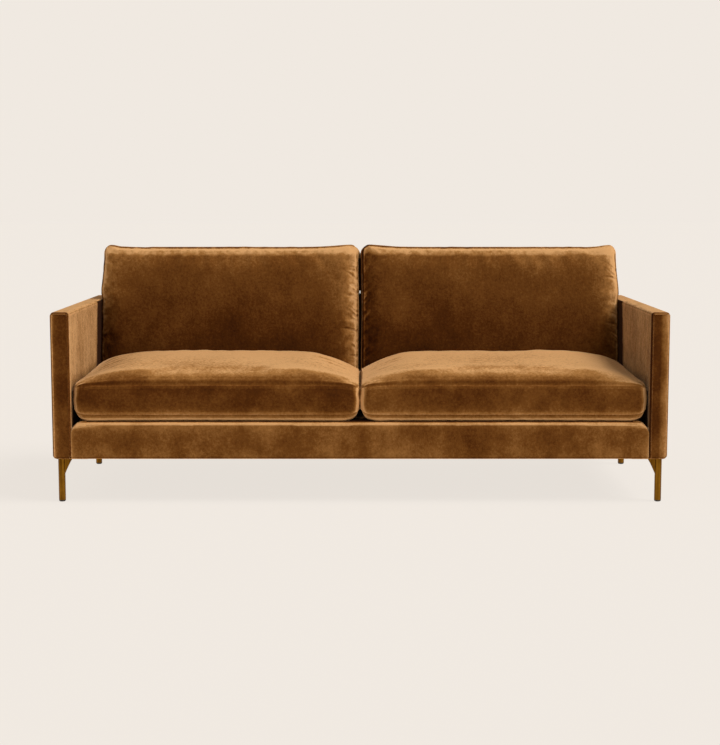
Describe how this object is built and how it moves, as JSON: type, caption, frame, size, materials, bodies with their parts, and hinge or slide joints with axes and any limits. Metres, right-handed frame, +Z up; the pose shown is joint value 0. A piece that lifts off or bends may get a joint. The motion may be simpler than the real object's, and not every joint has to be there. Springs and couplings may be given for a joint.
{
  "type": "tuxedo sofa",
  "caption": "Two-seat tuxedo sofa with slim arms and back of one height, loose box seat cushions, loose back cushions and short round metal legs",
  "frame": {"origin": "on the floor, under the middle of the sofa's box", "axes": "+X to the right of someone looking at the front, -Y out of the front, +Z up"},
  "size_m": [2.14, 0.94, 0.8763],
  "materials": {
    "velvet": "copper brown velvet with a short pale nap",
    "timber": "bare planed hardwood",
    "board": "thin hardboard",
    "foam": "foam and fibre padding",
    "webbing": "woven jute webbing",
    "spring_steel": "plain spring steel",
    "tie_cord": "paper-wrapped tie",
    "dust_cloth": "thin black non-woven cloth",
    "brass": "aged brass, satin",
    "glide": "dark moulded glide",
    "fastener": "zinc plated steel"
  },
  "bodies": {
    "root": {"front_rail": "timber", "rear_rail": "timber", "side_rail_left": "timber", "side_rail_right": "timber", "seat_stretchers": "timber", "corner_blocks": "timber", "arm_front_post_left": "timber", "arm_front_post_right": "timber", "arm_rear_post_left": "timber", "arm_rear_post_right": "timber", "arm_top_rail_left": "timber", "arm_top_rail_right": "timber", "back_post_left": "timber", "back_post_right": "timber", "back_centre_post": "timber", "back_top_rail": "timber", "back_stretchers": "timber", "arm_boards_left": "board", "arm_boards_right": "board", "back_board": "board", "back_webbing": "webbing", "seat_springs": "spring_steel", "spring_clips": "spring_steel", "spring_ties": "tie_cord", "deck_pad": "foam", "front_rail_pad": "foam", "arm_pad_left": "foam", "arm_pad_right": "foam", "back_pad": "foam", "deck_cover": "velvet", "front_rail_cover": "velvet", "arm_cover_left": "velvet", "arm_cover_right": "velvet", "back_cover": "velvet", "dust_cover": "dust_cloth", "leg_front_left": "brass", "leg_front_right": "brass", "leg_rear_left": "brass", "leg_rear_right": "brass", "glides": "glide", "leg_screws": "fastener", "frame_bolts": "fastener"},
    "seat_left": {"seat_cushion_left": "velvet", "seat_core_left": "foam"},
    "seat_right": {"seat_cushion_right": "velvet", "seat_core_right": "foam"},
    "back_left": {"back_cushion_left": "velvet", "back_core_left": "foam"},
    "back_right": {"back_cushion_right": "velvet", "back_core_right": "foam"}
  },
  "joints": [
    {"name": "seat_left_lift", "type": "slide", "parent": "root", "child": "seat_left", "axis": [0, 0, 1], "range_m": [0, 0.42]},
    {"name": "seat_right_lift", "type": "slide", "parent": "root", "child": "seat_right", "axis": [0, 0, 1], "range_m": [0, 0.42]},
    {"name": "back_left_lift", "type": "slide", "parent": "root", "child": "back_left", "axis": [0, 0, 1], "range_m": [0, 0.42]},
    {"name": "back_right_lift", "type": "slide", "parent": "root", "child": "back_right", "axis": [0, 0, 1], "range_m": [0, 0.42]}
  ]
}
